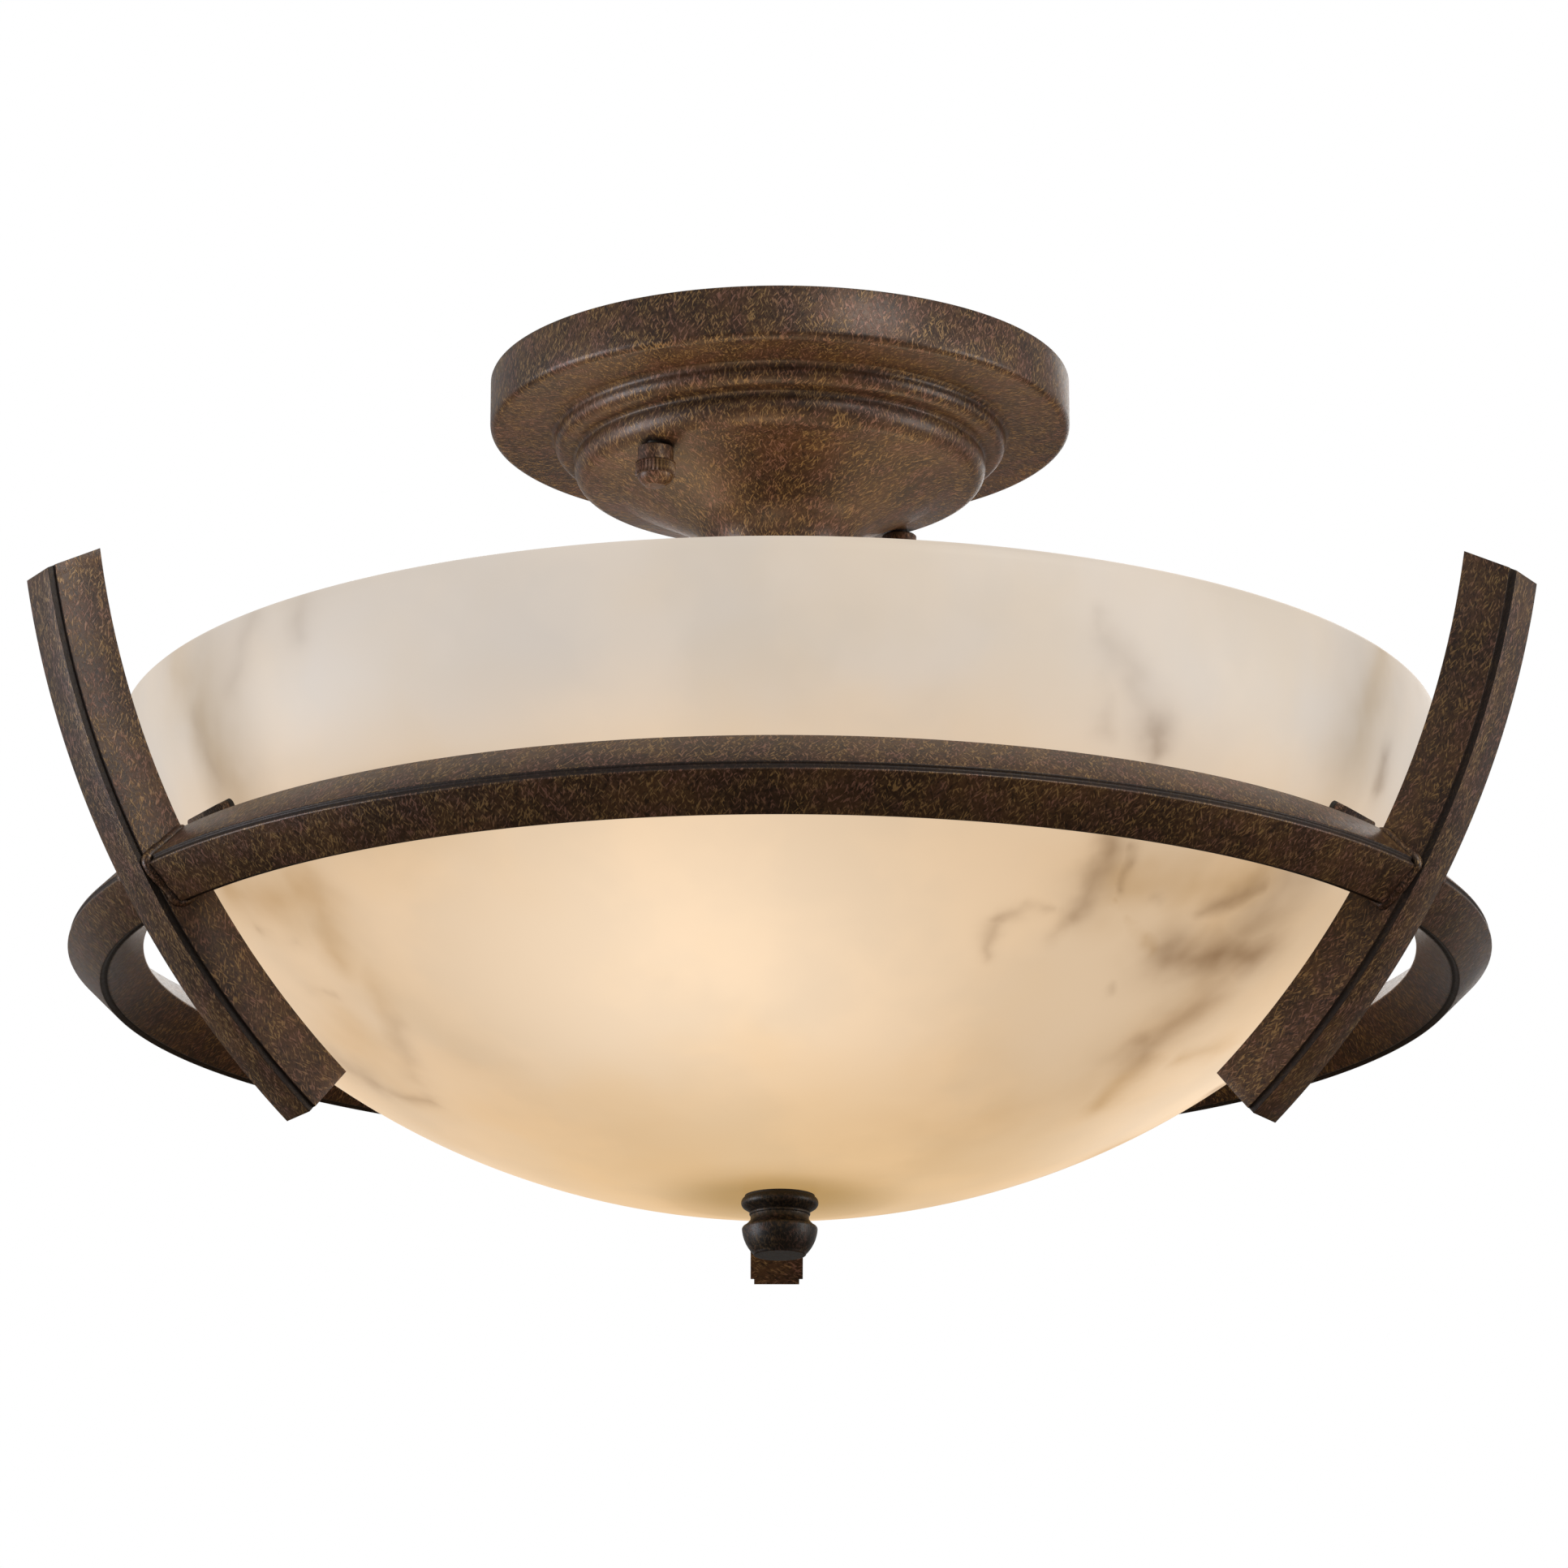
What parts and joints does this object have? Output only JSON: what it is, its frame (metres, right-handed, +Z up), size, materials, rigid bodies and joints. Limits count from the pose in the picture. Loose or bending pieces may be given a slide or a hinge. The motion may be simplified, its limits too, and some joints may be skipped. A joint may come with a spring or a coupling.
{
  "type": "semi flush ceiling light",
  "caption": "Semi flush ceiling light: stepped round canopy, short stem, marbled glass bowl in a square bar ring with curved uprights, and a turned finial below.",
  "frame": {"origin": "middle of the mounting bar's upper face, in the plane of the ceiling", "axes": "+Z up into the ceiling along the stem, the fixture hangs towards -Z, -Y towards the viewer, +X to the viewer's right"},
  "size_m": [0.3402, 0.3605, 0.2147],
  "materials": {
    "bronze_finish": "satin dark bronze, brushed with lighter streaks",
    "zinc_plate": "zinc plated",
    "green_screw": "green dyed zinc plate",
    "marbled_glass": "satin, translucent cream with tan and brown veins",
    "rubber": "matt",
    "fibre": "matt fibre",
    "porcelain": "white glaze",
    "brass_shell": "plain",
    "bulb_cap": "bright rolled",
    "frosted_glass": "frosted, lit warm white"
  },
  "bodies": {
    "fixture": {"canopy": "bronze_finish", "mounting_bar": "zinc_plate", "canopy_screws": "zinc_plate", "bar_nuts": "zinc_plate", "ground_screw": "green_screw", "stem_nut": "zinc_plate", "stem_lock_washer": "zinc_plate", "neck_collar": "bronze_finish", "stem": "bronze_finish", "hub": "bronze_finish", "centre_rod": "zinc_plate", "rod_nut": "zinc_plate", "stop_nut": "zinc_plate", "socket_tube_1": "zinc_plate", "lamp_socket_1": "porcelain", "screw_shell_1": "brass_shell", "socket_contact_1": "brass_shell", "socket_tube_2": "zinc_plate", "lamp_socket_2": "porcelain", "screw_shell_2": "brass_shell", "socket_contact_2": "brass_shell", "socket_tube_3": "zinc_plate", "lamp_socket_3": "porcelain", "screw_shell_3": "brass_shell", "socket_contact_3": "brass_shell"},
    "bowl_and_cage": {"bowl": "marbled_glass", "soft_washer": "rubber", "cup_washer": "zinc_plate", "finial_washer": "fibre", "clip_screws": "zinc_plate", "clip_grommets": "rubber", "arm_1": "bronze_finish", "ring_1": "bronze_finish", "cage_clip_1": "bronze_finish", "glass_pad_1": "rubber", "arm_2": "bronze_finish", "ring_2": "bronze_finish", "cage_clip_2": "bronze_finish", "glass_pad_2": "rubber", "arm_3": "bronze_finish", "ring_3": "bronze_finish", "cage_clip_3": "bronze_finish", "glass_pad_3": "rubber"},
    "finial": {"finial": "bronze_finish"},
    "nut_near": {"canopy_nut_near": "bronze_finish"},
    "nut_far": {"canopy_nut_far": "bronze_finish"},
    "bulb_1": {"bulb_base_1": "bulb_cap", "bulb_glass_1": "frosted_glass"},
    "bulb_2": {"bulb_base_2": "bulb_cap", "bulb_glass_2": "frosted_glass"},
    "bulb_3": {"bulb_base_3": "bulb_cap", "bulb_glass_3": "frosted_glass"}
  },
  "joints": [
    {"name": "bowl_lower", "type": "slide", "parent": "fixture", "child": "bowl_and_cage", "axis": [0, 0, -1], "range_m": [0, 0.1]},
    {"name": "finial_turn", "type": "hinge", "parent": "bowl_and_cage", "child": "finial", "pos_m": [0, 0, -0.205], "axis": [0, 0, 1], "continuous": true},
    {"name": "nut_near_turn", "type": "hinge", "parent": "fixture", "child": "nut_near", "pos_m": [-0.02957, -0.03319, -0.03], "axis": [0, 0, 1], "continuous": true},
    {"name": "nut_far_turn", "type": "hinge", "parent": "fixture", "child": "nut_far", "pos_m": [0.02957, 0.03319, -0.03], "axis": [0, 0, 1], "continuous": true},
    {"name": "bulb_1_turn", "type": "hinge", "parent": "fixture", "child": "bulb_1", "pos_m": [0, 0, -0.0777], "axis": [-0.1983, -0.7399, -0.6428], "continuous": true},
    {"name": "bulb_2_turn", "type": "hinge", "parent": "fixture", "child": "bulb_2", "pos_m": [0, 0, -0.0777], "axis": [0.7399, 0.1983, -0.6428], "continuous": true},
    {"name": "bulb_3_turn", "type": "hinge", "parent": "fixture", "child": "bulb_3", "pos_m": [0, 0, -0.0777], "axis": [-0.5417, 0.5417, -0.6428], "continuous": true}
  ]
}
